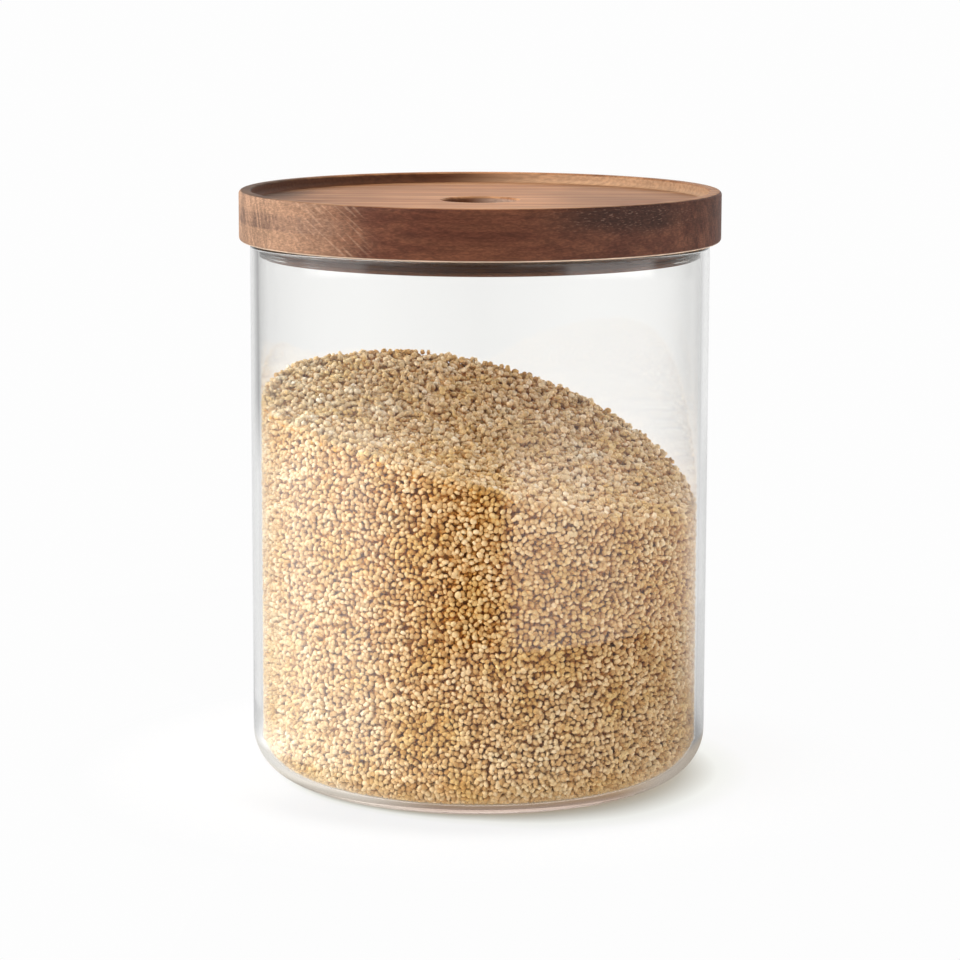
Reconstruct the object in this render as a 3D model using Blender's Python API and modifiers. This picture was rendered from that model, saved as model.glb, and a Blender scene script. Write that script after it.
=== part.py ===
"""Glass storage jar: a glass vessel, a turned wooden lid, its ribbed silicone seal and a fill of grain.

The jar stands on z = 0 with its axis on Z, and every piece is turned round that axis.
"""

import math

import bmesh
import bpy

# Clearance between pieces that touch, and the facets round every turned piece
FIT_GAP = 0.0003
ROUND_STEPS = 64
SHARP_ANGLE = math.radians(35)

# Glass vessel
JAR_RADIUS = 0.0550
JAR_HEIGHT = 0.1294
GLASS_WALL = 0.0019
BASE_THICKNESS = 0.0018
CORNER_RADIUS = 0.0112
FOOT_WIDTH = 0.0045
PUNT_RISE = 0.0006

# Wooden lid: the flange that covers the rim, and its recessed top
LID_THICKNESS = 0.0120
LID_OVERHANG = 0.0026
LID_EDGE_RADIUS = 0.0009
RIM_WIDTH = 0.0029
RIM_EASE_RADIUS = 0.0004
RECESS_DEPTH = 0.0025
RECESS_COVE_RADIUS = 0.0012

# Blind finger hole in the middle of the lid
HOLE_RADIUS = 0.00935
HOLE_DEPTH = 0.0075
HOLE_EASE_RADIUS = 0.0004
HOLE_COVE_RADIUS = 0.0015

# Plug under the lid, with the groove that holds the seal
LIP_ABOVE_GROOVE = 0.0014
GROOVE_HEIGHT = 0.0016
LIP_BELOW_GROOVE = 0.0007
GROOVE_DEPTH = 0.0015
PLUG_EASE_RADIUS = 0.0003

# Ribbed silicone seal
SEAL_FACE_THICKNESS = 0.00025
SEAL_RIB_PROJECTION = 0.00035
SEAL_RIB_PITCH = 0.00074
SEAL_RIBS = 3

# Grain: its height on the axis, and how its surface leans and bends, as shares of its radius
FILL_HEIGHT = 0.0838
FILL_LEAN_X_SHARE = -0.243
FILL_LEAN_Y_SHARE = 0.148
FILL_BEND_X_SHARE = -0.046
FILL_BEND_Y_SHARE = 0.046
FILL_TWIST_SHARE = 0.031
FILL_RINGS = 8

# Sizes that follow from those above
BORE_RADIUS = JAR_RADIUS - GLASS_WALL
INNER_CORNER_RADIUS = CORNER_RADIUS - GLASS_WALL
PLUG_RADIUS = BORE_RADIUS - FIT_GAP - SEAL_RIB_PROJECTION - SEAL_FACE_THICKNESS - FIT_GAP
PLUG_DEPTH = LIP_ABOVE_GROOVE + GROOVE_HEIGHT + LIP_BELOW_GROOVE
GROOVE_RADIUS = PLUG_RADIUS - GROOVE_DEPTH
GROOVE_MIDDLE = LIP_ABOVE_GROOVE + GROOVE_HEIGHT / 2

PARTS = "glass_storage_jar"


def clear_scene():
    for obj in list(bpy.data.objects):
        bpy.data.objects.remove(obj, do_unlink=True)


def parts_collection():
    """The collection that holds every piece."""
    found = bpy.data.collections.get(PARTS)
    if found is None:
        found = bpy.data.collections.new(PARTS)
        bpy.context.scene.collection.children.link(found)
    return found


def material(name, colour, roughness, metallic=0.0, transmission=0.0, ior=1.5):
    """A Principled material with a linear colour."""
    made = bpy.data.materials.new(name)
    made.use_nodes = True
    shader = made.node_tree.nodes["Principled BSDF"]
    shader.inputs["Base Color"].default_value = (*colour, 1.0)
    shader.inputs["Roughness"].default_value = roughness
    shader.inputs["Metallic"].default_value = metallic
    shader.inputs["Transmission Weight"].default_value = transmission
    shader.inputs["IOR"].default_value = ior
    return made


def arc(centre_r, centre_z, radius, start, end, steps):
    """Points of a profile along a round of this radius, from one angle to the other, in degrees."""
    points = []
    for step in range(steps + 1):
        angle = math.radians(start + (end - start) * step / steps)
        points.append((centre_r + radius * math.cos(angle), centre_z + radius * math.sin(angle)))
    return points


def turned(name, profile, finish, closed=False):
    """An object turned from a profile of (radius, height) points that runs down its outer side."""
    form = bmesh.new()
    corners = [form.verts.new((radius, 0, height)) for radius, height in profile]
    for first, second in zip(corners, corners[1:]):
        form.edges.new((first, second))
    if closed:
        form.edges.new((corners[-1], corners[0]))
    mesh = bpy.data.meshes.new(name)
    form.to_mesh(mesh)
    form.free()
    obj = bpy.data.objects.new(name, mesh)
    parts_collection().objects.link(obj)
    screw = obj.modifiers.new("Turn", "SCREW")
    screw.steps = ROUND_STEPS
    screw.render_steps = ROUND_STEPS
    screw.use_merge_vertices = True
    screw.merge_threshold = 0.00001
    bpy.context.view_layer.objects.active = obj
    bpy.ops.object.modifier_apply(modifier=screw.name)
    mesh.materials.append(finish)
    mesh.shade_smooth()
    mesh.set_sharp_from_angle(angle=SHARP_ANGLE)
    return obj


def glass_jar():
    """A straight-sided vessel with a rounded lip, a rounded foot and a slightly raised base."""
    floor_corner = BORE_RADIUS - INNER_CORNER_RADIUS
    foot_outside = JAR_RADIUS - CORNER_RADIUS
    foot_inside = foot_outside - FOOT_WIDTH
    lip = GLASS_WALL / 2
    profile = [(0, BASE_THICKNESS)]
    profile += arc(floor_corner, BASE_THICKNESS + INNER_CORNER_RADIUS, INNER_CORNER_RADIUS, -90, 0, 7)
    profile += arc(JAR_RADIUS - lip, JAR_HEIGHT - lip, lip, 180, 0, 8)
    profile += arc(foot_outside, CORNER_RADIUS, CORNER_RADIUS, 0, -90, 8)
    for inward in (1, 0.75, 0.5, 0.25, 0):
        profile.append((foot_inside * inward, PUNT_RISE * (1 - inward**2)))
    clear_glass = material("borosilicate_glass", (1.0, 1.0, 1.0), 0.0, transmission=1.0, ior=1.47)
    return turned("glass_jar", profile, clear_glass)


def wood_lid():
    """One turned block: a recessed top with a finger hole, a flange over the rim and a grooved plug.

    Its own z = 0 is the flange's underside, which seats on the rim.
    """
    lid_radius = JAR_RADIUS + LID_OVERHANG
    recess_radius = lid_radius - RIM_WIDTH
    floor = LID_THICKNESS - RECESS_DEPTH
    hole_floor = floor - HOLE_DEPTH
    groove_top = -LIP_ABOVE_GROOVE
    groove_foot = groove_top - GROOVE_HEIGHT
    profile = [(0, hole_floor)]
    profile += arc(HOLE_RADIUS - HOLE_COVE_RADIUS, hole_floor + HOLE_COVE_RADIUS, HOLE_COVE_RADIUS, -90, 0, 3)
    profile += arc(HOLE_RADIUS + HOLE_EASE_RADIUS, floor - HOLE_EASE_RADIUS, HOLE_EASE_RADIUS, 180, 90, 2)
    profile += arc(recess_radius - RECESS_COVE_RADIUS, floor + RECESS_COVE_RADIUS, RECESS_COVE_RADIUS, -90, 0, 3)
    profile += arc(recess_radius + RIM_EASE_RADIUS, LID_THICKNESS - RIM_EASE_RADIUS, RIM_EASE_RADIUS, 180, 90, 2)
    profile += arc(lid_radius - LID_EDGE_RADIUS, LID_THICKNESS - LID_EDGE_RADIUS, LID_EDGE_RADIUS, 90, 0, 3)
    profile += arc(lid_radius - LID_EDGE_RADIUS, LID_EDGE_RADIUS, LID_EDGE_RADIUS, 0, -90, 3)
    profile += [(PLUG_RADIUS, 0), (PLUG_RADIUS, groove_top), (GROOVE_RADIUS, groove_top)]
    profile += [(GROOVE_RADIUS, groove_foot), (PLUG_RADIUS, groove_foot)]
    profile += arc(PLUG_RADIUS - PLUG_EASE_RADIUS, PLUG_EASE_RADIUS - PLUG_DEPTH, PLUG_EASE_RADIUS, 0, -90, 2)
    profile += [(0, -PLUG_DEPTH)]
    oiled_wood = material("oiled_acacia", (0.17, 0.07, 0.035), 0.5)
    lid = turned("wood_lid", profile, oiled_wood)
    lid.location.z = JAR_HEIGHT + FIT_GAP
    return lid


def lid_seal(lid):
    """A ring whose root sits in the plug's groove and whose ribbed face fills the bore.

    The face's radius follows a cosine wave, one crest to a rib. Its own z = 0 is the groove's middle.
    """
    face_inside = PLUG_RADIUS + FIT_GAP
    face_outside = face_inside + SEAL_FACE_THICKNESS
    face_half = SEAL_RIBS * SEAL_RIB_PITCH / 2
    root_inside = GROOVE_RADIUS + FIT_GAP
    root_half = GROOVE_HEIGHT / 2 - FIT_GAP
    points_per_rib = 4
    profile = []
    for step in range(SEAL_RIBS * points_per_rib + 1):
        turns = step / points_per_rib
        crest = (1 - math.cos(2 * math.pi * turns)) / 2
        profile.append((face_outside + SEAL_RIB_PROJECTION * crest, face_half - SEAL_RIB_PITCH * turns))
    profile += [(face_inside, -face_half), (face_inside, -root_half), (root_inside, -root_half)]
    profile += [(root_inside, root_half), (face_inside, root_half), (face_inside, face_half)]
    silicone = material("clear_silicone", (0.85, 0.85, 0.83), 0.25, transmission=0.8, ior=1.41)
    seal = turned("lid_seal", profile, silicone, closed=True)
    seal.parent = lid
    seal.location.z = -GROOVE_MIDDLE
    return seal


def grain_fill(jar):
    """The grain: it follows the glass inside, and its top is a plane that leans, bends and twists."""
    radius = BORE_RADIUS - FIT_GAP
    corner = INNER_CORNER_RADIUS - FIT_GAP
    foot = BASE_THICKNESS + FIT_GAP
    profile = [(radius * ring / FILL_RINGS, FILL_HEIGHT) for ring in range(FILL_RINGS + 1)]
    profile += arc(radius - corner, foot + corner, corner, 0, -90, 6)
    profile += [(0, foot)]
    grain = material("white_quinoa", (0.50, 0.33, 0.17), 0.75)
    fill = turned("grain_fill", profile, grain)
    for vertex in fill.data.vertices:
        if vertex.co.z > FILL_HEIGHT - FIT_GAP:
            x, y = vertex.co.x / radius, vertex.co.y / radius
            lean = FILL_LEAN_X_SHARE * x + FILL_LEAN_Y_SHARE * y
            bend = FILL_BEND_X_SHARE * x * x + FILL_BEND_Y_SHARE * y * y + FILL_TWIST_SHARE * x * y
            vertex.co.z = FILL_HEIGHT + radius * (lean + bend)
    fill.parent = jar
    return fill


clear_scene()
jar = glass_jar()
grain_fill(jar)
lid_seal(wood_lid())
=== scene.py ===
import math

import bpy
import numpy as np
from mathutils import Matrix, Vector


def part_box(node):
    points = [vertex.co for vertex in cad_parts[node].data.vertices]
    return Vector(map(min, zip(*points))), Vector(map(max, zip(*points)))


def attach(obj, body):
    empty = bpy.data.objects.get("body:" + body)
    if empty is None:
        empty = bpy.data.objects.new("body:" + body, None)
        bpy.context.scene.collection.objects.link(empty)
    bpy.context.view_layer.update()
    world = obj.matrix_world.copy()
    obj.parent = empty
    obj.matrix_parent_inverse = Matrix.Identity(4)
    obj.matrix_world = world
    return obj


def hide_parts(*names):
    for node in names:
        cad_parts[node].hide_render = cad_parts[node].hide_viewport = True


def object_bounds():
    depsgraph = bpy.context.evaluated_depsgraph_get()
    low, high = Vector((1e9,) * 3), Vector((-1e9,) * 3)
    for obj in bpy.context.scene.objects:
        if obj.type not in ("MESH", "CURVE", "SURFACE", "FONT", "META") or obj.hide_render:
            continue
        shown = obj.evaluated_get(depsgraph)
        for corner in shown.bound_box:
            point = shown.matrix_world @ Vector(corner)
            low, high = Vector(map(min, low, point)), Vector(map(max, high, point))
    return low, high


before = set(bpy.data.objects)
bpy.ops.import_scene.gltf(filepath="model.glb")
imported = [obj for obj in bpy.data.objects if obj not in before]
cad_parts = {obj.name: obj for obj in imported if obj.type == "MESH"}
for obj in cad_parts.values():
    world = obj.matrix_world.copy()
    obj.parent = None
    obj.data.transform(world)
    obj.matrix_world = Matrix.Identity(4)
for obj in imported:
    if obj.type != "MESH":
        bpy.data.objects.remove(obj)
cad_low, cad_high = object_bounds()
scene = bpy.context.scene
scene.view_settings.view_transform = "Standard"


# Camera: 0.81 m in front of the jar's axis and 0.2 m up, looking 9.3 degrees down through a long lens. It was
# fitted to the photo's outlines of the lid, the glass and the foot.
camera_place = (0.00015, -0.81315, 0.20498)
camera_pitch = math.radians(9.339)
camera_roll = 0.0028
lens = bpy.data.cameras.new("camera")
lens.sensor_width = 36
lens.lens = 127.575
camera = bpy.data.objects.new("camera", lens)
upright = Matrix.Rotation(math.pi / 2 - camera_pitch, 4, "X")
camera.matrix_world = Matrix.Translation(camera_place) @ upright @ Matrix.Rotation(camera_roll, 4, "Z")
scene.collection.objects.link(camera)
scene.camera = camera


# Studio light: three softboxes, low left, low behind on the right and high left, and a pale table that throws
# their light back up. The glass mirrors the bright table on both sides and a dark gap at the camera.


def colour(code):
    """The linear colour of an sRGB hex code such as "C8A06E"."""
    share = np.array([int(code[i:i + 2], 16) for i in (0, 2, 4)]) / 255
    linear = np.where(share <= 0.04045, share / 12.92, ((share + 0.055) / 1.055) ** 2.4)
    return (*linear.tolist(), 1.0)


def grey(value):
    """A grey colour of this linear brightness."""
    return (value, value, value, 1)


def add(tree, kind, inputs=None, stops=(), **settings):
    """A shader node of this kind, with these settings and, for a colour ramp, these stops.

    Its inputs are values, outputs of other nodes, or whole nodes, which stand for their first output.
    """
    node = tree.nodes.new("ShaderNode" + kind)
    for name, value in settings.items():
        setattr(node, name, value)
    for name, value in (inputs or {}).items():
        if isinstance(value, bpy.types.Node):
            value = value.outputs[0]
        if isinstance(value, bpy.types.NodeSocket):
            tree.links.new(value, node.inputs[name])
        else:
            node.inputs[name].default_value = value
    for place, shade in stops[2:]:
        node.color_ramp.elements.new(place)
    for number, (place, shade) in enumerate(stops):
        if isinstance(shade, str):
            shade = colour(shade)
        elif not isinstance(shade, tuple):
            shade = grey(shade)
        node.color_ramp.elements[number].position = place
        node.color_ramp.elements[number].color = shade
    return node


def softbox(name, azimuth, elevation, distance, width, height, brightness):
    """A lamp aimed at the jar's middle. Its azimuth, in degrees, is 0 at the camera and 90 at +X."""
    lamp = bpy.data.lights.new(name, "AREA")
    lamp.shape = "RECTANGLE"
    lamp.size, lamp.size_y = width, height
    lamp.energy = brightness * math.pi * width * height
    turn, rise = math.radians(azimuth), math.radians(elevation)
    way = Vector((math.sin(turn) * math.cos(rise), -math.cos(turn) * math.cos(rise), math.sin(rise)))
    box = bpy.data.objects.new(name, lamp)
    facing = way.to_track_quat("Z", "Y").to_matrix().to_4x4()
    aim = (cad_low + cad_high) / 2
    box.matrix_world = Matrix.Translation(aim + distance * way) @ facing
    box.visible_camera = box.visible_glossy = box.visible_transmission = False
    scene.collection.objects.link(box)


softbox("left_softbox", azimuth=-72, elevation=18, distance=1.0, width=1.3, height=0.6, brightness=3.6)
softbox("back_softbox", azimuth=150, elevation=24, distance=1.0, width=1.5, height=0.7, brightness=1.8)
softbox("high_softbox", azimuth=-60, elevation=44, distance=1.1, width=1.3, height=1.2, brightness=2.3)

# Brightness round the horizon, by degrees from the camera to the right. The first three lists are what a
# mirroring face shows: above the table's far edge, along that edge, and on the table.
above = [(-180, 0.95), (-168, 0.92), (-163, 0.9), (-158, 0.78), (-153, 0.5), (-146, 0.4), (-135, 0.45),
         (-120, 0.65), (-100, 0.8), (-95, 1.6), (-62, 1.5), (-56, 0.5), (0, 0.15), (35, 0.25), (42, 0.6),
         (46, 1.6), (94, 1.5), (99, 0.2), (130, 0.2), (140, 0.42), (147, 0.6), (155, 0.9), (168, 0.95)]
level = [(-180, 0.95), (-168, 0.92), (-163, 0.9), (-158, 0.78), (-153, 0.52), (-146, 0.4), (-135, 0.42),
         (-120, 0.6), (-60, 0.7), (-30, 0.4), (0, 0.25), (30, 0.5), (90, 0.6), (120, 0.4), (142, 0.45),
         (147, 0.62), (155, 0.9), (168, 0.95)]
table = [(-180, 0.95), (-160, 0.88), (-150, 0.86), (-142, 0.75), (-130, 0.85), (-118, 1.4), (-104, 2.3),
         (-62, 2.5), (-50, 1.5), (-38, 0.8), (-25, 0.35), (-12, 0.1), (0, 0.04), (11, 0.2), (20, 1.25),
         (36, 1.5), (62, 1.25), (77, 1.0), (93, 0.7), (112, 0.5), (140, 0.66), (155, 0.8)]
# How brightly the wall and the table light matt pieces
lit_wall = [(-180, 3.0), (-150, 2.9), (-115, 1.4), (-90, 0.8), (-60, 0.6), (-30, 0.4), (0, 0.35), (30, 0.55),
            (60, 1.1), (90, 1.7), (115, 2.2), (150, 2.9)]
lit_table = [(-180, 1.2), (-120, 0.9), (-60, 0.9), (-30, 0.75), (0, 0.7), (15, 1.0), (32, 2.7), (80, 2.95),
             (115, 2.1), (150, 1.3)]
# Where these bands fade into each other, as the height of a direction of length 1
far_edge_starts, far_edge_ends = (-0.1020, -0.1040), (-0.138, -0.160)
table_light_fades, ceiling_fades = (0.0, -0.1), (0.35, 0.6)
wall_white, ceiling_grey = 0.985, 0.12
# A ramp holds no more than 1, so brightness is divided by this in it, and multiplied back as strength
glare = 3.0


def ranged(tree, value, low, high, start=0.0, end=1.0, shape="LINEAR"):
    """This value's range from low to high, spread over start to end and held there."""
    inputs = {"Value": value, "From Min": low, "From Max": high, "To Min": start, "To Max": end}
    return add(tree, "MapRange", inputs, interpolation_type=shape)


def bearing(tree, split):
    """The angle atan2(x, -y) of a split vector, with -pi to pi spread over 0 to 1. The camera is at 0.5."""
    front = add(tree, "Math", {0: 0.0, 1: split.outputs["Y"]}, operation="SUBTRACT")
    turn = add(tree, "Math", {0: split.outputs["X"], 1: front}, operation="ARCTAN2")
    return ranged(tree, turn, -math.pi, math.pi)


def round_ramp(tree, share, stops):
    """The brightness at this bearing, as a share of the glare, from stops in degrees."""
    places = [((degrees + 180) / 360, value / glare) for degrees, value in stops]
    return add(tree, "ValToRGB", {0: share}, stops=places)


def mixed(tree, share, first, second):
    """The first colour with this share of the second: inputs 6 and 7 of a Mix node, and its output 2."""
    return add(tree, "Mix", {0: share, 6: first, 7: second}, data_type="RGBA").outputs[2]


world = bpy.data.worlds.new("studio")
world.use_nodes = True
scene.world = world
tree = world.node_tree
tree.nodes.clear()
path = add(tree, "LightPath")
way = add(tree, "SeparateXYZ", {0: add(tree, "TexCoord").outputs["Generated"]})
rise = way.outputs["Z"]
horizon = bearing(tree, way)
shows_above, shows_level, shows_table, wall_light, table_light = [
    round_ramp(tree, horizon, stops) for stops in (above, level, table, lit_wall, lit_table)]
upper_half = mixed(tree, ranged(tree, rise, *far_edge_starts), shows_above, shows_level)
all_round = mixed(tree, ranged(tree, rise, *far_edge_ends), upper_half, shows_table)
mirrored = add(tree, "Background", {"Color": all_round, "Strength": glare})
white = add(tree, "Background", {"Color": grey(wall_white), "Strength": 1.0})
sky = mixed(tree, ranged(tree, rise, *ceiling_fades), wall_light, grey(ceiling_grey))
light = mixed(tree, ranged(tree, rise, *table_light_fades), sky, table_light)
fill = add(tree, "Background", {"Color": light, "Strength": glare})
# Seen straight or through clear pieces the studio is white, and after a mirroring face it shows the bands.
# Matt pieces take their light from the wall, the table and a dark ceiling.
glossy = add(tree, "Math", {0: path.outputs["Glossy Depth"], 1: 0.5}, operation="GREATER_THAN")
beyond = add(tree, "MixShader", {0: glossy, 1: white, 2: mirrored})
seen = add(tree, "Math", {0: path.outputs["Is Glossy Ray"], 1: path.outputs["Is Transmission Ray"]},
           operation="MAXIMUM")
unseen = add(tree, "MixShader", {0: seen, 1: fill, 2: beyond})
shown = add(tree, "MixShader", {0: path.outputs["Is Camera Ray"], 1: unseen, 2: white})
add(tree, "OutputWorld", {"Surface": shown})


# Floor: the part of the pale table that the jar stands on. Beyond its edge the table is as white as the wall.
# It ends nearer the jar at the left.
floor_reach, floor_left_reach = 0.24, 0.105
floor_drop = 0.0001
floor_steps = 96
# Where the contact shadow starts, and how much further it spreads than its ramp says
foot_edge, shadow_spread = 0.0444, 2.2
# How much a faint wider shade takes off in front, and how bright the painted line next to the foot is in its
# mirror
front_shade, line_brightness = 0.095, 2.4
# Painted light: how brightly the floor glows round the jar where the glass mirrors it, in degrees from the
# camera to the right
painted_floor_glow = [(-180, 0.95), (-150, 0.92), (-138, 0.7), (-117, 0.75), (-104, 1.1), (-95, 1.5), (-88, 1.8),
               (-60, 2.3), (-48, 2.0), (-38, 1.4), (-28, 0.9), (-19, 0.6), (-10, 0.45), (0, 0.4), (20, 0.42),
               (60, 0.32), (95, 0.26), (112, 0.35), (122, 0.6), (136, 0.7), (160, 0.85)]


def new_piece(name, points, *faces):
    """A mesh object from an array of points and arrays of faces with three or four corners."""
    corners = np.concatenate([group.ravel() for group in faces])
    sizes = np.concatenate([np.full(len(group), group.shape[1]) for group in faces])
    mesh = bpy.data.meshes.new(name)
    mesh.vertices.add(len(points))
    mesh.vertices.foreach_set("co", np.asarray(points, np.float32).ravel())
    mesh.loops.add(len(corners))
    mesh.loops.foreach_set("vertex_index", corners.astype(np.int32))
    mesh.polygons.add(len(sizes))
    mesh.polygons.foreach_set("loop_start", (np.cumsum(sizes) - sizes).astype(np.int32))
    mesh.update(calc_edges=True)
    piece = bpy.data.objects.new(name, mesh)
    scene.collection.objects.link(piece)
    return piece


def new_material(name):
    """An empty node material and its tree."""
    material = bpy.data.materials.new(name)
    material.use_nodes = True
    material.node_tree.nodes.clear()
    return material, material.node_tree


turn = np.linspace(-180, 180, floor_steps + 1)[:-1]
left_share = np.interp(turn, [-150, -135, -30, -12], [0, 1, 1, 0])
edge_reach = floor_reach + (floor_left_reach - floor_reach) * left_share
floor_edge = np.column_stack([edge_reach * np.sin(np.radians(turn)), -edge_reach * np.cos(np.radians(turn)),
                              np.full(floor_steps, -floor_drop)])
here = np.arange(floor_steps)
floor_faces = np.column_stack([here, np.roll(here, -1), np.full(floor_steps, floor_steps)])
floor = new_piece("floor", np.vstack([floor_edge, [(0, 0, -floor_drop)]]), floor_faces)


def eased(tree, value, low, high, start=0.0, end=1.0):
    """This value's range from low to high, spread over start to end with a soft start and end."""
    return ranged(tree, value, low, high, start, end, "SMOOTHSTEP")


def product(tree, *values):
    """The product of two or more values."""
    total = values[0]
    for value in values[1:]:
        total = add(tree, "Math", {0: total, 1: value}, operation="MULTIPLY")
    return total


# White laminate: near the jar it takes the jar's shadow, and further out it is as white as the wall. In the
# glass it shows a painted glow, darker in front and at the right, where the studio is dark.
laminate, tree = new_material("white_laminate_matt")
path = add(tree, "LightPath")
place = add(tree, "TexCoord").outputs["Object"]
reach = add(tree, "VectorMath", {0: place}, operation="LENGTH").outputs["Value"]
along = add(tree, "SeparateXYZ", {0: place})
side = add(tree, "Math", {0: along.outputs["X"], 1: reach}, operation="DIVIDE")
side = ranged(tree, side, -1.0, 1.0)
# The contact shadow, narrow at the left and wide at the right, away from the light
spread = add(tree, "ValToRGB", {0: side},
             stops=[(0.0, 0.22), (0.25, 0.26), (0.5, 0.48), (0.65, 0.80), (0.8, 0.98), (1.0, 1.0)])
spread = product(tree, spread, shadow_spread)
past = add(tree, "Math", {0: reach, 1: foot_edge}, operation="SUBTRACT")
past = add(tree, "Math", {0: past, 1: spread}, operation="DIVIDE")
ring = add(tree, "Math", {0: past, 1: foot_edge}, operation="ADD")
contact = add(tree, "ValToRGB", {0: ring},
              stops=[(0.0430, "A08868"), (0.0440, "7A7066"), (0.0450, "827A70"), (0.0464, "AAA49A"),
                     (0.0471, "C8C4B8"), (0.0479, "D8D6CA"), (0.0488, "E6E8DB"), (0.0495, "EEF0E6"),
                     (0.0506, "F5F6F1"), (0.0525, "FDFDFD")])
# A faint wider shade in front, and close to the jar a share of what the lamps make of a matt floor
front = add(tree, "Math", {0: along.outputs["Y"], 1: reach}, operation="DIVIDE")
tail = product(tree, eased(tree, front, -0.3, -0.85, 0.0, front_shade), eased(tree, reach, 0.071, 0.057))
tail = add(tree, "Math", {0: 1.0, 1: tail}, operation="SUBTRACT")
near = add(tree, "ValToRGB", {0: reach}, stops=[(0.0, 0.1), (0.07, 0.1), (0.098, 0.0)])
lit = add(tree, "BsdfDiffuse", {"Color": grey(0.9)})
glow = add(tree, "Emission", {"Color": contact, "Strength": tail})
blend = add(tree, "MixShader", {0: near, 1: glow, 2: lit})
# In the glass's mirroring foot the floor close by shows painted shade, dark in the middle and pale at both
# ends, and one painted highlight: a bright line next to the foot
under_foot = add(tree, "ValToRGB", {0: reach},
                 stops=[(0.0440, "F6E6DC"), (0.0465, "F6E6DC"), (0.0467, "6C584D"), (0.0473, "7D6658"),
                        (0.0480, "93796A"), (0.0485, "B1937B"), (0.0500, "B39477"), (0.0520, "C0A88C")])
left_end = add(tree, "ValToRGB", {0: reach},
               stops=[(0.0440, "F6E6DC"), (0.0465, "F6E6DC"), (0.0467, "938B80"), (0.0473, "AFA59A"),
                      (0.0480, "CFC5BA"), (0.0486, "E8DBCF"), (0.0493, "F6EBDF"), (0.0507, "F2EADE"),
                      (0.0520, "EBE8E2")])
under_foot = mixed(tree, eased(tree, side, 0.18, 0.44), left_end, under_foot)
under_foot = mixed(tree, eased(tree, side, 0.82, 0.97), under_foot, colour("B6ACA0"))
painted_bright_line = ranged(tree, reach, 0.0465, 0.0467, line_brightness, 1.0)
close_by = add(tree, "Emission", {"Color": under_foot, "Strength": painted_bright_line})
# The painted glow that the glass mirrors further from the jar
round_jar = round_ramp(tree, bearing(tree, along), painted_floor_glow)
further = add(tree, "Emission", {"Color": round_jar, "Strength": glare})
mirrored = add(tree, "MixShader", {0: ranged(tree, reach, 0.064, 0.078), 1: close_by, 2: further})
glossy = add(tree, "Math", {0: path.outputs["Glossy Depth"], 1: 0.5}, operation="GREATER_THAN")
seen = add(tree, "MixShader", {0: glossy, 1: blend, 2: mirrored})
straight_on = add(tree, "Math", {0: path.outputs["Is Camera Ray"], 1: path.outputs["Is Transmission Ray"]},
                  operation="MAXIMUM")
looks = add(tree, "Math", {0: straight_on, 1: path.outputs["Is Glossy Ray"]}, operation="MAXIMUM")
top = add(tree, "MixShader", {0: looks, 1: lit, 2: seen})
add(tree, "OutputMaterial", {"Surface": top})
floor.data.materials.append(laminate)


# Glass vessel: one piece of clear borosilicate glass, blown in a mould, with a straight thin wall. Its lip is
# melted round by a flame, its foot is a rounded corner, and its base rises slightly in the middle.
jar_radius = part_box("glass_jar")[1][0]
jar_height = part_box("glass_jar")[1][2]
glass_wall = 0.0019
base_thickness = 0.0018
corner_radius = 0.0112
foot_width = 0.0045
punt_rise = 0.0006
bore_radius = jar_radius - glass_wall
inner_corner = corner_radius - glass_wall
round_steps = 288


def arc(centre, radius, start, end, steps):
    """Points of a round: its centre plus radius times (cos t, sin t), with t from start to end in degrees."""
    t = np.radians(np.linspace(start, end, steps + 1))
    return np.stack([centre[0] + radius * np.cos(t), centre[1] + radius * np.sin(t)], axis=1)


def straight(start, end, steps, hold=0.0001):
    """Points evenly along a straight line, its ends included, and one more this near each end.

    Those two keep the smooth shading of a round off the straight face next to it.
    """
    near = hold / math.dist(start, end)
    share = np.sort(np.concatenate([np.linspace(0, 1, steps + 1), [near, 1 - near]]))[:, None]
    return np.array(start) + share * (np.array(end) - np.array(start))


def turned(outline, steps, poles=True):
    """A surface of two parameters, the place along the outline and the angle a: x = r cos a, y = r sin a.

    The outline holds (r, z) points and runs down the outer side. With poles its two ends lie on the axis and
    become one point each. Without them its last point joins its first.
    """
    a = 2 * np.pi * np.arange(steps) / steps
    r, z = outline[:, :1], outline[:, 1:]
    rings = np.stack([r * np.cos(a), r * np.sin(a), z + 0 * a], axis=2)
    body = rings[1:-1] if poles else rings
    here = np.arange(body.shape[0] * steps).reshape(-1, steps)
    if not poles:
        here = np.vstack([here, here[:1]])
    there = np.roll(here, -1, axis=1)
    quads = np.stack([here[:-1], here[1:], there[1:], there[:-1]], axis=2).reshape(-1, 4)
    if not poles:
        return body.reshape(-1, 3), quads
    count = body.shape[0] * steps
    first = np.stack([np.full(steps, count), here[0], there[0]], axis=1)
    last = np.stack([here[-1], np.full(steps, count + 1), there[-1]], axis=1)
    points = np.vstack([body.reshape(-1, 3), rings[0, :1], rings[-1, :1]])
    return points, quads, np.vstack([first, last])


def smooth(piece, degrees=35):
    """Smooth shading, with edges sharper than this angle kept sharp."""
    piece.data.shade_smooth()
    piece.data.set_sharp_from_angle(angle=math.radians(degrees))


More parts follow.
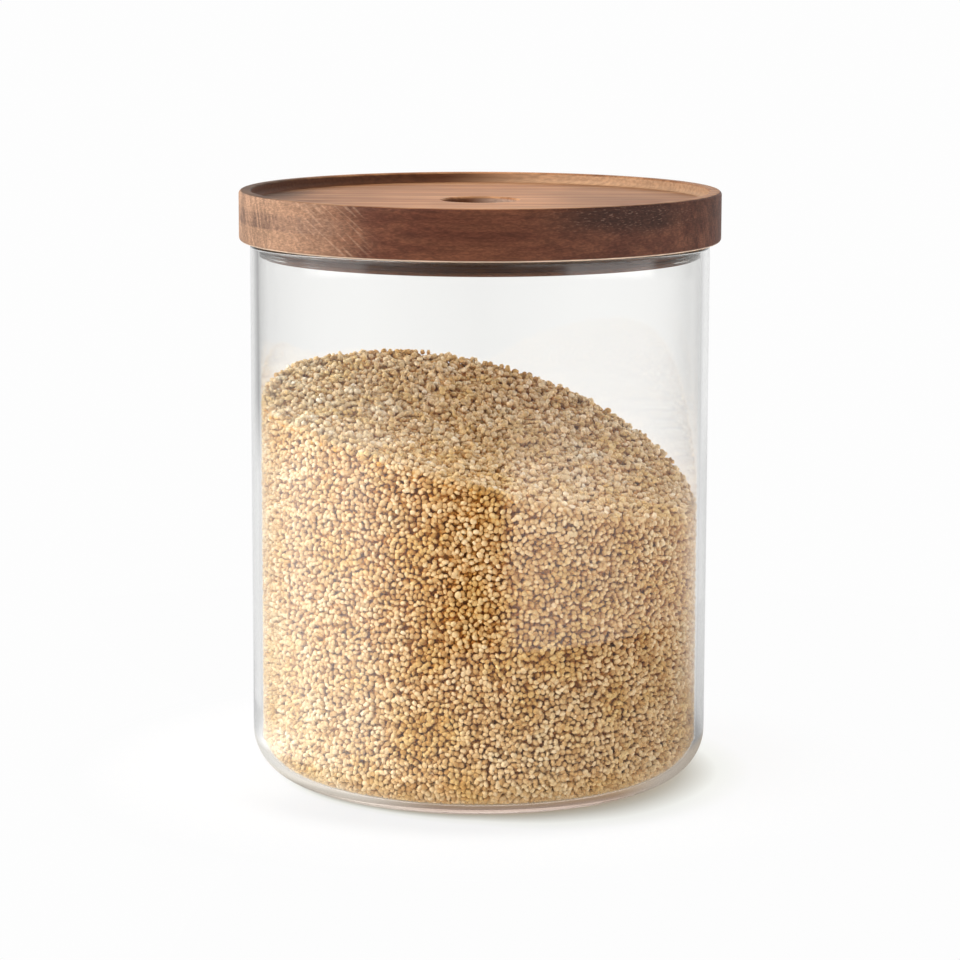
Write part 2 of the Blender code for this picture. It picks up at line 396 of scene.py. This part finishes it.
lip = glass_wall / 2
foot_outside = jar_radius - corner_radius
inner_foot = bore_radius - inner_corner
wall_rows = 36
glass_outline = np.vstack([
    straight((0, base_thickness), (inner_foot, base_thickness), 12)[:-1],
    arc((inner_foot, base_thickness + inner_corner), inner_corner, -90, 0, 20),
    straight((bore_radius, base_thickness + inner_corner), (bore_radius, jar_height - lip), wall_rows)[1:-1],
    arc((jar_radius - lip, jar_height - lip), lip, 180, 0, 16),
    straight((jar_radius, jar_height - lip), (jar_radius, corner_radius), wall_rows)[1:-1],
    arc((foot_outside, corner_radius), corner_radius, 0, -90, 20),
    straight((foot_outside, 0), (foot_outside - foot_width, 0), 4)[1:],
])
dome = np.linspace(1, 0, 16)[1:, None]
punt = np.hstack([(foot_outside - foot_width) * dome, punt_rise * (1 - dome**2)])
glass = new_piece("glass_vessel", *turned(np.vstack([glass_outline, punt]), round_steps))
smooth(glass)


def let_light_through(tree, shader, through):
    """Finish a clear material: the first shader, but the second for soft light and for the rays of lamps."""
    path = add(tree, "LightPath")
    soft = add(tree, "MixShader", {0: path.outputs["Is Diffuse Ray"], 1: shader, 2: through})
    passed = add(tree, "MixShader", {0: path.outputs["Is Shadow Ray"], 1: soft, 2: through})
    add(tree, "OutputMaterial", {"Surface": passed})


# Blown borosilicate glass: clear and colourless, with an index of 1.47 and fire-polished faces as smooth as
# water. Lamps' rays and soft light pass straight through it, so that what it holds is lit.
borosilicate, tree = new_material("borosilicate_glass_blown")
clear = add(tree, "BsdfPrincipled", {"Base Color": colour("FEFEFD"), "Roughness": 0.0, "IOR": 1.47,
                                     "Transmission Weight": 1.0})
let_light_through(tree, clear, add(tree, "BsdfTransparent"))
glass.data.materials.append(borosilicate)
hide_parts("glass_jar")
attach(glass, "jar")


# Grain: white quinoa, dry seeds up to 2 mm across, each a flattened button with a pale germ round its edge.
# They were poured in and lie higher at the back left than at the front right.
fill_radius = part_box("grain_fill")[1][0]
fill_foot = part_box("grain_fill")[0][2]
fill_corner = fill_radius - inner_foot
fill_height = 0.0838
lean_x_share, lean_y_share = -0.243, 0.148
bend_x_share, bend_y_share, twist_share = -0.046, 0.046, 0.031
grain_pitch = 0.00130
grain_radius = 0.00096
# A grain's three radii as shares of its own size, which itself is a random share of the radius above
grain_shape = np.array([1.0, 0.82, 0.62])
least_grain, largest_grain = 0.80, 1.16
# How far below the surface each layer of grains lies, how much further a grain may lie by chance, and how
# rough the heap's top is
layers = (0.0, 0.0009)
looseness = 0.0004
roughness = 0.0006
# Between these two heights the packing turns from tight, with this share of the looseness, to loose
packing_heights = (0.010, 0.045)
tight_share = 0.2
core_depth = 0.0018
rng = np.random.default_rng(7)


def heap(x, y):
    """Height of the grain's top: a plane that leans, bends and twists, in shares of the fill's radius."""
    u, v = x / fill_radius, y / fill_radius
    lean = lean_x_share * u + lean_y_share * v
    bend = bend_x_share * u**2 + bend_y_share * v**2 + twist_share * u * v
    return fill_height + fill_radius * (lean + bend)


def loose_packing(rows, columns, wraps, nearest=0.80, push_share=0.42, rounds=4):
    """Places of grains on a strip, in steps of the pitch, as (row, column) pairs of numbers.

    Each cell of a grid gets one grain at a random place in it. Then, a few times, grains that are nearer than
    allowed push each other apart by a share of what is missing. Where the strip wraps, its last column is the
    first one's neighbour.
    """
    grid = np.stack(np.meshgrid(np.arange(rows), np.arange(columns), indexing="ij"), axis=2)
    places = grid + rng.uniform(0.02, 0.98, grid.shape)
    near = [(i, j) for i in (-2, -1, 0, 1, 2) for j in (-2, -1, 0, 1, 2) if (i, j) != (0, 0)]
    for _ in range(rounds):
        push = np.zeros_like(places)
        for i, j in near:
            other = np.roll(places, (i, j), axis=(0, 1))
            gap = places - other
            if wraps:
                gap[..., 1] -= columns * np.round(gap[..., 1] / columns)
            length = np.linalg.norm(gap, axis=2, keepdims=True) + 1e-6
            push += gap / length * np.clip(nearest - length, 0, 1)
        places += push_share * push
    return places.reshape(-1, 2)


grain_sides = 7
ring_angle = 2 * np.pi * np.arange(grain_sides) / grain_sides


def grain_ring(radius, height):
    """One ring of the unit grain: radius times (cos, sin) of even angles, at this height."""
    x, y = radius * np.cos(ring_angle), radius * np.sin(ring_angle)
    return np.stack([x, y, np.full(grain_sides, height)], axis=1)


# A unit grain: a pole, two rings and a pole, near enough to a ball, with the pale germ round its rings
ring_radius, ring_height, pole_height = 0.86, 0.46, 0.96
unit_grain = np.vstack([grain_ring(ring_radius, ring_height), grain_ring(ring_radius, -ring_height),
                        [(0, 0, pole_height), (0, 0, -pole_height)]])
germ_share = np.repeat([1.0, 0.0], [2 * grain_sides, 2])
here = np.arange(grain_sides)
there = np.roll(here, -1)
unit_faces = np.vstack([
    np.stack([np.full(grain_sides, 2 * grain_sides), here, there], axis=1),
    np.stack([here, here + grain_sides, there + grain_sides], axis=1),
    np.stack([here, there + grain_sides, there], axis=1),
    np.stack([here + grain_sides, np.full(grain_sides, 2 * grain_sides + 1), there + grain_sides], axis=1),
])


def grains(name, places, outward, sunk, tones, share_below_top, material):
    """Copies of the unit grain that lie this much below the surface through these places, or a little more.

    Each grain is turned at random and scaled to radii a, b and c, and n is the surface's outward normal. A
    grain that touches the surface has its centre sqrt((a n1)^2 + (b n2)^2 + (c n3)^2) back from it, where
    n1, n2 and n3 are the normal's parts along the grain's own axes.

    For its colour each grain keeps a tone between the two given ones, and each point keeps its depth: that
    below the surface, or the given share of that below the heap's top, whichever is less. The material paints
    shade from that depth, less where the packing is tight.
    """
    count = len(places)
    axis = rng.normal(size=(count, 3))
    axis /= np.linalg.norm(axis, axis=1, keepdims=True)
    side = np.cross(axis, rng.normal(size=(count, 3)))
    side /= np.linalg.norm(side, axis=1, keepdims=True)
    turn = np.stack([side, np.cross(axis, side), axis], axis=1)
    radii = grain_radius * rng.uniform(least_grain, largest_grain, (count, 1)) * grain_shape
    along = np.einsum("nij,nj->ni", turn, outward)
    loose = np.interp(places[:, 2], packing_heights, [tight_share, 1.0])
    back = np.linalg.norm(radii * along, axis=1) + sunk + loose * rng.uniform(0, looseness, count)
    centres = places - back[:, None] * outward
    points = centres[:, None] + np.einsum("vi,ni,nij->nvj", unit_grain, radii, turn)
    below = np.einsum("nvi,ni->nv", places[:, None] - points, outward)
    below_top = heap(points[..., 0], points[..., 1]) - points[..., 2]
    below = np.minimum(below, share_below_top * below_top)
    below *= (tight_share + (1 - tight_share) * loose)[:, None]
    faces = (np.arange(count)[:, None, None] * len(unit_grain) + unit_faces).reshape(-1, 3)
    piece = new_piece(name, points.reshape(-1, 3), faces)
    piece.data.shade_smooth()
    tone = piece.data.attributes.new("tone", "FLOAT", "POINT")
    tone_values = np.repeat(rng.uniform(*tones, count), len(unit_grain))
    tone.data.foreach_set("value", tone_values.astype(np.float32))
    depth = piece.data.attributes.new("depth_mm", "FLOAT", "POINT")
    depth.data.foreach_set("value", (below.ravel() * 1000).astype(np.float32))
    germ = piece.data.attributes.new("germ", "FLOAT", "POINT")
    germ.data.foreach_set("value", np.tile(germ_share, count).astype(np.float32))
    piece.data.materials.append(material)
    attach(piece, "jar")


def tinted(tree, base, *veils):
    """The base colour multiplied by each of these colours or values."""
    for veil in veils:
        both = add(tree, "Mix", {0: 1.0, 6: base, 7: veil}, data_type="RGBA", blend_type="MULTIPLY")
        base = both.outputs[2]
    return base


# Dry white quinoa: matt straw-coloured seed coats with a paler germ. Drifts of the fill are more golden or
# whiter than the rest, a few seeds are darker, and each is faintly mottled.
quinoa, tree = new_material("white_quinoa_dry")
tone = add(tree, "Attribute", attribute_name="tone")
germ = add(tree, "Attribute", attribute_name="germ")
place = add(tree, "TexCoord").outputs["Object"]
drifts = add(tree, "TexNoise", {"Vector": place, "Scale": 1 / 0.009, "Detail": 1.0})
drift = ranged(tree, drifts.outputs["Fac"], 0.34, 0.66)
seeds = add(tree, "ValToRGB", {0: tone.outputs["Fac"]},
            stops=[(0.0, "BE9764"), (0.15, "D2AF7E"), (0.5, "E2C79C"), (0.88, "F3DFBE"), (1.0, "FCF1DF")])
# Painted shade: the deeper a seed lies, the browner and darker its colour is painted, in place of the light
# that has been through other seeds
depth = ranged(tree, add(tree, "Attribute", attribute_name="depth_mm").outputs["Fac"], 0.0, 2.0)
painted_depth_shade = add(tree, "ValToRGB", {0: depth},
             stops=[(0.0, 1.0), (0.16, 1.0), (0.34, (0.94, 0.84, 0.67, 1.0)),
                    (0.55, (0.85, 0.62, 0.30, 1.0)), (1.0, (0.76, 0.46, 0.10, 1.0))])
drifting = add(tree, "ValToRGB", {0: drift},
               stops=[(0.0, "F6E6BE"), (0.35, "FAEFD8"), (0.65, "FFF5E6"), (1.0, "FFFCF4")])
# Painted light: the seeds at the left, on the side the light comes from, are painted paler and less orange
leftward = ranged(tree, add(tree, "SeparateXYZ", {0: place}).outputs["X"], -0.012, -0.042)
painted_lit_side = mixed(tree, leftward, grey(1.0), (1.0, 1.07, 1.15, 1))
mottle = add(tree, "TexNoise", {"Vector": place, "Scale": 1 / 0.0004, "Detail": 1.0})
pale_germ = mixed(tree, germ.outputs["Fac"], (0.84, 0.78, 0.70, 1), grey(1.04))
shade = ranged(tree, mottle.outputs["Fac"], 0.3, 0.7, 0.9, 1.0)
coat = tinted(tree, seeds, drifting, painted_depth_shade, pale_germ, shade, painted_lit_side)
bump = add(tree, "Bump", {"Height": mottle.outputs["Fac"], "Distance": 0.00003, "Strength": 0.4})
seed = add(tree, "BsdfPrincipled", {"Base Color": coat, "Roughness": 0.55, "Specular IOR Level": 0.2,
                                    "Normal": bump})
add(tree, "OutputMaterial", {"Surface": seed})

# The seeds against the glass lie along its inner outline, from the corner's foot up the wall
corner_length = fill_corner * np.pi / 2
wall_top = float(heap(*np.meshgrid(np.linspace(-fill_radius, 0, 40), np.linspace(0, fill_radius, 40))).max())
wall_sectors = 10
# The seeds against the glass end this far below the heap's top
below_heap = 0.0002


def along_wall(s, a):
    """The place and outward normal at length s along the inner outline and angle a round the axis.

    The outline is a round of radius c, with t = s / c - pi / 2, r = r0 + c cos t and z = z0 + c (1 + sin t)
    while t is below 0. From there it goes straight up.
    """
    t = np.clip(s / fill_corner, 0, np.pi / 2) - np.pi / 2
    r = inner_foot + fill_corner * np.cos(t)
    z = fill_foot + fill_corner * (1 + np.sin(t)) + np.clip(s - corner_length, 0, None)
    place = np.stack([r * np.cos(a), r * np.sin(a), z], axis=1)
    return place, np.stack([np.cos(t) * np.cos(a), np.cos(t) * np.sin(a), np.sin(t)], axis=1)


# Tones of the seeds at the side and on top, and how much of a side seed's depth below the heap's top counts
# towards its painted shade: light gets in more easily from above. The top's paler tones are painted light,
# in place of the light that the lid keeps off.
side_tones, painted_paler_top_tones = (0.0, 0.8), (0.5, 1.0)
side_share_below_top, top_share_below_top = 0.5, 1.0
wall_places, wall_normals, wall_sunk = [], [], []
for depth in layers:
    columns = round(2 * np.pi * (fill_radius - depth) / grain_pitch)
    rows = round((corner_length + wall_top) / grain_pitch)
    spots = loose_packing(rows, columns, wraps=True)
    place, outward = along_wall(spots[:, 0] * grain_pitch, 2 * np.pi * spots[:, 1] / columns)
    keep = place[:, 2] < heap(place[:, 0], place[:, 1]) - below_heap
    wall_places.append(place[keep])
    wall_normals.append(outward[keep])
    wall_sunk.append(np.full(keep.sum(), depth))
wall_places, wall_normals = np.vstack(wall_places), np.vstack(wall_normals)
wall_sunk = np.concatenate(wall_sunk)
sector = np.floor(np.arctan2(wall_places[:, 1], wall_places[:, 0]) / (2 * np.pi) % 1 * wall_sectors)
for number in range(wall_sectors):
    part = sector == number
    grains(f"quinoa_wall_{number + 1}", wall_places[part], wall_normals[part], wall_sunk[part], side_tones,
           side_share_below_top, quinoa)

# The seeds on the heap's top, in as many layers. They keep this far from the glass's inside.
top_margin = 1.1 * grain_radius
top_places, top_sunk = [], []
for depth in layers:
    across = round(2 * fill_radius / grain_pitch)
    spots = (loose_packing(across, across, wraps=False) - across / 2) * grain_pitch
    spots = spots[np.hypot(spots[:, 0], spots[:, 1]) < fill_radius - top_margin]
    lift = rng.normal(0, roughness, len(spots))
    top_places.append(np.column_stack([spots, heap(spots[:, 0], spots[:, 1]) + lift]))
    top_sunk.append(np.full(len(spots), depth))
top_places, top_sunk = np.vstack(top_places), np.concatenate(top_sunk)
# Their normals come from the heap's heights this far to each side
step = 0.0005
top_normals = np.column_stack([
    heap(top_places[:, 0] - step, top_places[:, 1]) - heap(top_places[:, 0] + step, top_places[:, 1]),
    heap(top_places[:, 0], top_places[:, 1] - step) - heap(top_places[:, 0], top_places[:, 1] + step),
    np.full(len(top_places), 2 * step)])
top_normals /= np.linalg.norm(top_normals, axis=1, keepdims=True)
front = top_places[:, 1] < 0
for name, side in (("quinoa_top_front", front), ("quinoa_top_back", ~front)):
    grains(name, top_places[side], top_normals[side], top_sunk[side], painted_paler_top_tones, top_share_below_top, quinoa)

# The seeds that lie on the jar's base
across = round(2 * inner_foot / grain_pitch)
spots = (loose_packing(across, across, wraps=False) - across / 2) * grain_pitch
spots = spots[np.hypot(spots[:, 0], spots[:, 1]) < inner_foot]
base_places = np.column_stack([spots, np.full(len(spots), fill_foot)])
down = np.tile([0.0, 0.0, -1.0], (len(spots), 1))
grains("quinoa_base", base_places, down, np.zeros(len(spots)), side_tones, side_share_below_top, quinoa)

# The mass of seeds behind the outer ones, which shows only as the dark of the gaps. Its dark brown is
# painted shade, for seeds that lie in shadow.
core_radius = fill_radius - core_depth
core_corner = fill_corner - core_depth
core_outline = np.vstack([
    straight((0, fill_height), (core_radius, fill_height), 24),
    straight((core_radius, fill_height - core_depth), (core_radius, fill_foot + fill_corner), 8),
    arc((core_radius - core_corner, fill_foot + fill_corner), core_corner, 0, -90, 10)[1:],
    [(0, fill_foot + core_depth)],
])
core_points, *core_faces = turned(core_outline, 96)
share_up = (core_points[:, 2] - fill_foot) / (fill_height - fill_foot)
core_points[:, 2] += share_up * (heap(core_points[:, 0], core_points[:, 1]) - fill_height - core_depth)
core = new_piece("quinoa_core", core_points, *core_faces)
smooth(core)
deep, tree = new_material("white_quinoa_in_shadow")
place = add(tree, "TexCoord").outputs["Object"]
lumps = add(tree, "TexVoronoi", {"Vector": place, "Scale": 1 / grain_pitch})
shade = add(tree, "ValToRGB", {0: lumps.outputs["Distance"]}, stops=[(0.0, "B0742E"), (1.0, "744410")])
bump = add(tree, "Bump", {"Height": lumps.outputs["Distance"], "Distance": 0.0005}, invert=True)
mass = add(tree, "BsdfPrincipled", {"Base Color": shade, "Roughness": 0.8, "Specular IOR Level": 0.2,
                                    "Normal": bump})
add(tree, "OutputMaterial", {"Surface": mass})
core.data.materials.append(deep)
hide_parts("grain_fill")
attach(core, "jar")


# Wooden lid: one block of acacia turned on a lathe and oiled. Its top is recessed inside a narrow rim, with a
# blind finger hole in the middle, and a shallow grooved plug below the flange goes into the jar's mouth.
lid_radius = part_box("wood_lid")[1][0]
lid_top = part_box("wood_lid")[1][2]
lid_thickness = 0.0120
lid_foot = lid_top - lid_thickness
edge_round = 0.0009
rim_width = 0.0029
rim_ease = 0.0004
recess_depth = 0.0025
recess_cove = 0.0012
hole_radius = 0.00935
hole_depth = 0.0075
hole_ease = 0.0004
hole_cove = 0.0015
plug_radius = 0.0519
plug_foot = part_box("wood_lid")[0][2]
groove_radius = 0.0504
lip_above_groove = 0.0014
groove_height = 0.0016
groove_top = lid_foot - lip_above_groove
groove_foot = groove_top - groove_height
plug_ease = 0.0003
recess_radius = lid_radius - rim_width
recess_floor = lid_top - recess_depth
hole_floor = recess_floor - hole_depth
lid_outline = np.vstack([
    straight((0, hole_floor), (hole_radius - hole_cove, hole_floor), 6)[:-1],
    arc((hole_radius - hole_cove, hole_floor + hole_cove), hole_cove, -90, 0, 8),
    straight((hole_radius, hole_floor + hole_cove), (hole_radius, recess_floor - hole_ease), 8)[1:-1],
    arc((hole_radius + hole_ease, recess_floor - hole_ease), hole_ease, 180, 90, 6),
    straight((hole_radius + hole_ease, recess_floor), (recess_radius - recess_cove, recess_floor), 30)[1:-1],
    arc((recess_radius - recess_cove, recess_floor + recess_cove), recess_cove, -90, 0, 8),
    arc((recess_radius + rim_ease, lid_top - rim_ease), rim_ease, 180, 90, 6),
    arc((lid_radius - edge_round, lid_top - edge_round), edge_round, 90, 0, 8),
    straight((lid_radius, lid_top - edge_round), (lid_radius, lid_foot + edge_round), 12)[1:-1],
    arc((lid_radius - edge_round, lid_foot + edge_round), edge_round, 0, -90, 8),
    straight((lid_radius - edge_round, lid_foot), (plug_radius, lid_foot), 6)[1:],
    straight((plug_radius, lid_foot), (plug_radius, groove_top), 3)[1:],
    [(groove_radius, groove_top), (groove_radius, groove_foot), (plug_radius, groove_foot)],
    arc((plug_radius - plug_ease, plug_foot + plug_ease), plug_ease, 0, -90, 5),
    straight((plug_radius - plug_ease, plug_foot), (0, plug_foot), 24)[1:],
])
lid_points, *lid_faces = turned(lid_outline, round_steps)
lid = new_piece("acacia_lid", lid_points, *lid_faces)
smooth(lid)
# Which points lie on the lid's top, where it was sanded along the grain: its rim, recess and hole
slack = 0.0001
lid_rise, lid_reach = lid_points[:, 2], np.hypot(lid_points[:, 0], lid_points[:, 1])
on_top = (lid_rise > hole_floor - slack) & (lid_reach < lid_radius - edge_round / 2)
on_top &= (lid_rise > lid_top - rim_ease) | (lid_reach < recess_radius + slack)
sanded = lid.data.attributes.new("sanded", "FLOAT", "POINT")
sanded.data.foreach_set("value", on_top.astype(np.float32))

# Oiled acacia: its fibres run along X. The top, sanded along them, is a pale pinkish tan with fine streaks.
# The edge is darker: red-brown heartwood with short pale pores, a dark patch at the right, and tan
# sapwood at the left end. End grain shows as upright streaks at both ends. Oil leaves almost no gloss.
acacia, tree = new_material("acacia_turned_oiled")
place = add(tree, "TexCoord").outputs["Object"]
split = add(tree, "SeparateXYZ", {0: place})
x, y = split.outputs["X"], split.outputs["Y"]
sideways = add(tree, "Math", {0: x}, operation="ABSOLUTE")
# How far a point lies below the lid's top
depth = add(tree, "Math", {0: lid_top, 1: split.outputs["Z"]}, operation="SUBTRACT")
top_share = add(tree, "Attribute", attribute_name="sanded").outputs["Fac"]


def streaks(tree, place, lengths, detail, turn=0.0):
    """The value of noise whose grains have these lengths along X, Y and Z in metres, turned about Y."""
    squeeze = add(tree, "Mapping", {"Vector": place, "Rotation": (0.0, turn, 0.0)})
    squeeze = add(tree, "Mapping", {"Vector": squeeze, "Scale": tuple(1 / length for length in lengths)})
    return add(tree, "TexNoise", {"Vector": squeeze, "Scale": 1.0, "Detail": detail}).outputs["Fac"]


wander = streaks(tree, place, (0.016, 0.016, 0.008), 2.0)
fibres = streaks(tree, place, (0.030, 0.0007, 0.0007), 3.0)
bands = streaks(tree, place, (0.070, 0.0040, 0.0030), 2.0)
flecks = streaks(tree, place, (0.0010, 0.0010, 0.00026), 1.0)
ends = streaks(tree, place, (0.0008, 0.030, 0.008), 2.0, 0.15)
lines = streaks(tree, place, (0.0090, 0.0090, 0.0005), 0.0, -0.72)

# Heartwood of the edge: red-brown, darker in slow bands
heart = mixed(tree, eased(tree, bands, 0.35, 0.65), colour("522D1F"), colour("623A28"))
# Sapwood: tan, from the left end to a wavering border in front
leftward = add(tree, "Math", {0: wander, 1: 0.012, 2: x}, operation="MULTIPLY_ADD")
sapwood = eased(tree, leftward, -0.045, -0.016, 1.0, 0.0)
edge = mixed(tree, sapwood, heart, colour("9E7A60"))
# A darker, streaked layer in the sapwood, a little above the middle of the edge
in_layer = product(tree, eased(tree, depth, 0.0028, 0.0040), eased(tree, depth, 0.0074, 0.0068),
                   eased(tree, leftward, -0.036, -0.020, 1.0, 0.0))
edge = mixed(tree, product(tree, in_layer, eased(tree, ends, 0.38, 0.6, 1.0, 0.45)), edge, colour("7E604E"))
# Pale growth lines that run down to the right, where sapwood turns to heartwood
on_border = product(tree, eased(tree, x, -0.047, -0.040), eased(tree, x, -0.030, -0.022, 1.0, 0.0))
edge = mixed(tree, product(tree, on_border, eased(tree, lines, 0.62, 0.72, 0.0, 0.2)), edge, colour("B8967C"))
# The dark patch near the top of the edge, right of the middle
patch_low = add(tree, "Math", {0: wander, 1: 0.004, 2: depth}, operation="MULTIPLY_ADD")
in_patch = product(tree, eased(tree, x, 0.010, 0.026), eased(tree, patch_low, 0.0058, 0.0100, 1.0, 0.0),
                   eased(tree, x, 0.040, 0.050, 1.0, 0.25),
                   eased(tree, y, -0.010, 0.0, 1.0, 0.0))
edge = mixed(tree, product(tree, in_patch, 0.9), edge, colour("3A2219"))
edge = mixed(tree, product(tree, in_patch, eased(tree, flecks, 0.60, 0.76, 0.0, 0.3)), edge, colour("8E7263"))
# End grain: upright dark streaks at the far ends
at_ends = eased(tree, sideways, 0.043, 0.052)
end_streaks = product(tree, at_ends, eased(tree, ends, 0.4, 0.62, 1.0, 0.0))
edge = tinted(tree, edge, eased(tree, end_streaks, 0.0, 1.0, 1.0, 0.72))
edge = tinted(tree, edge, eased(tree, flecks, 0.36, 0.68, 0.86, 1.20))
# Painted highlight: the flange's lower edge, facing the bright table, is painted as a pale line. The plug
# below it is dark brown, partly oiled wood and partly painted shade under the flange
painted_edge_highlight = product(tree, eased(tree, depth, lid_thickness - 0.00045, lid_thickness - 0.0002, 0.0, 0.8),
                 eased(tree, depth, lid_thickness + 0.0001, lid_thickness))
edge = mixed(tree, painted_edge_highlight, edge, colour("E8CDB4"))
edge = mixed(tree, eased(tree, depth, lid_thickness, lid_thickness + 0.0001), edge, colour("5E3C28"))
# The sanded top: darker towards both sides and more so to the right, with a painted rim shadow at the far
# left
top = mixed(tree, eased(tree, bands, 0.36, 0.64), colour("98643F"), colour("B5835B"))
top = tinted(tree, top,
             eased(tree, sideways, 0.010, 0.034, 1.0, 0.85),
             eased(tree, x, 0.006, 0.030, 1.0, 0.88),
             eased(tree, leftward, -0.045, -0.028, 0.26, 1.0),
             eased(tree, wander, 0.35, 0.65, 0.88, 1.05))
# The turned wall of the recess and the hole: painted shade at the left, painted light at the right
out = add(tree, "VectorMath", {0: add(tree, "CombineXYZ", {0: x, 1: y})}, operation="LENGTH").outputs["Value"]
on_wall = product(tree, eased(tree, out, recess_radius - 0.0013, recess_radius - 0.0008),
                  eased(tree, depth, 0.0002, 0.0005))
wall = mixed(tree, eased(tree, x, -0.012, 0.018), colour("5C3824"), colour("B48D6C"))
wall = tinted(tree, wall, eased(tree, x, 0.030, 0.048, 1.0, 0.78))
top = mixed(tree, on_wall, top, wall)
# The hole's wall is painted in shade at its left half and lit at its right half
in_hole = eased(tree, depth, 0.0027, 0.0033)
painted_hole_shade = mixed(tree, eased(tree, x, -0.004, 0.004), colour("6E4630"), colour("A68A78"))
top = mixed(tree, in_hole, top, painted_hole_shade)
timber = mixed(tree, top_share, edge, top)
timber = tinted(tree, timber, eased(tree, fibres, 0.32, 0.68, 0.80, 1.12))
relief = add(tree, "Math", {0: fibres, 1: flecks}, operation="ADD")
bump = add(tree, "Bump", {"Height": relief, "Distance": 0.00004, "Strength": 0.5})
wood = add(tree, "BsdfPrincipled", {"Base Color": timber, "Roughness": 0.55, "Specular IOR Level": 0.15,
                                    "Normal": bump})
add(tree, "OutputMaterial", {"Surface": wood})
lid.data.materials.append(acacia)
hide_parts("wood_lid")
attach(lid, "lid")


# Seal: a ring moulded in clear silicone rubber. Its root is pressed into the plug's groove, and its face has
# three round ribs that fill the jar's mouth.
seal_low, seal_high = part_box("lid_seal")
rib_count = 3
points_per_rib = 16
rib_depth = 0.00035
face_thickness = 0.00025
fit_gap = 0.0003
face_inside = plug_radius + fit_gap
face_outside = face_inside + face_thickness
root_inside = groove_radius + fit_gap
root_top = groove_top - fit_gap
root_foot = groove_foot + fit_gap
wave = np.linspace(0, 1, rib_count * points_per_rib + 1)[:, None]
rib_face = np.hstack([face_outside + rib_depth * (1 - np.cos(2 * np.pi * rib_count * wave)) / 2,
                      seal_high[2] + (seal_low[2] - seal_high[2]) * wave])
seal_outline = np.vstack([
    rib_face,
    [(face_inside, seal_low[2]), (face_inside, root_foot), (root_inside, root_foot)],
    [(root_inside, root_top), (face_inside, root_top), (face_inside, seal_high[2])],
])
seal = new_piece("silicone_seal", *turned(seal_outline, round_steps, poles=False))
smooth(seal)

# Moulded silicone rubber: clear, with a skin as smooth as its mould. Its ribs are pressed flat on the glass
# and hardly mirror there, so its index is 1.17 instead of 1.41. Light passes through it, a little dimmed.
silicone, tree = new_material("silicone_rubber_moulded")
rubber = add(tree, "BsdfPrincipled", {"Base Color": colour("F4F3F0"), "Roughness": 0.1, "IOR": 1.17,
                                      "Transmission Weight": 1.0})
let_light_through(tree, rubber, add(tree, "BsdfTransparent", {"Color": grey(0.92)}))
seal.data.materials.append(silicone)
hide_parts("lid_seal")
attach(seal, "seal")
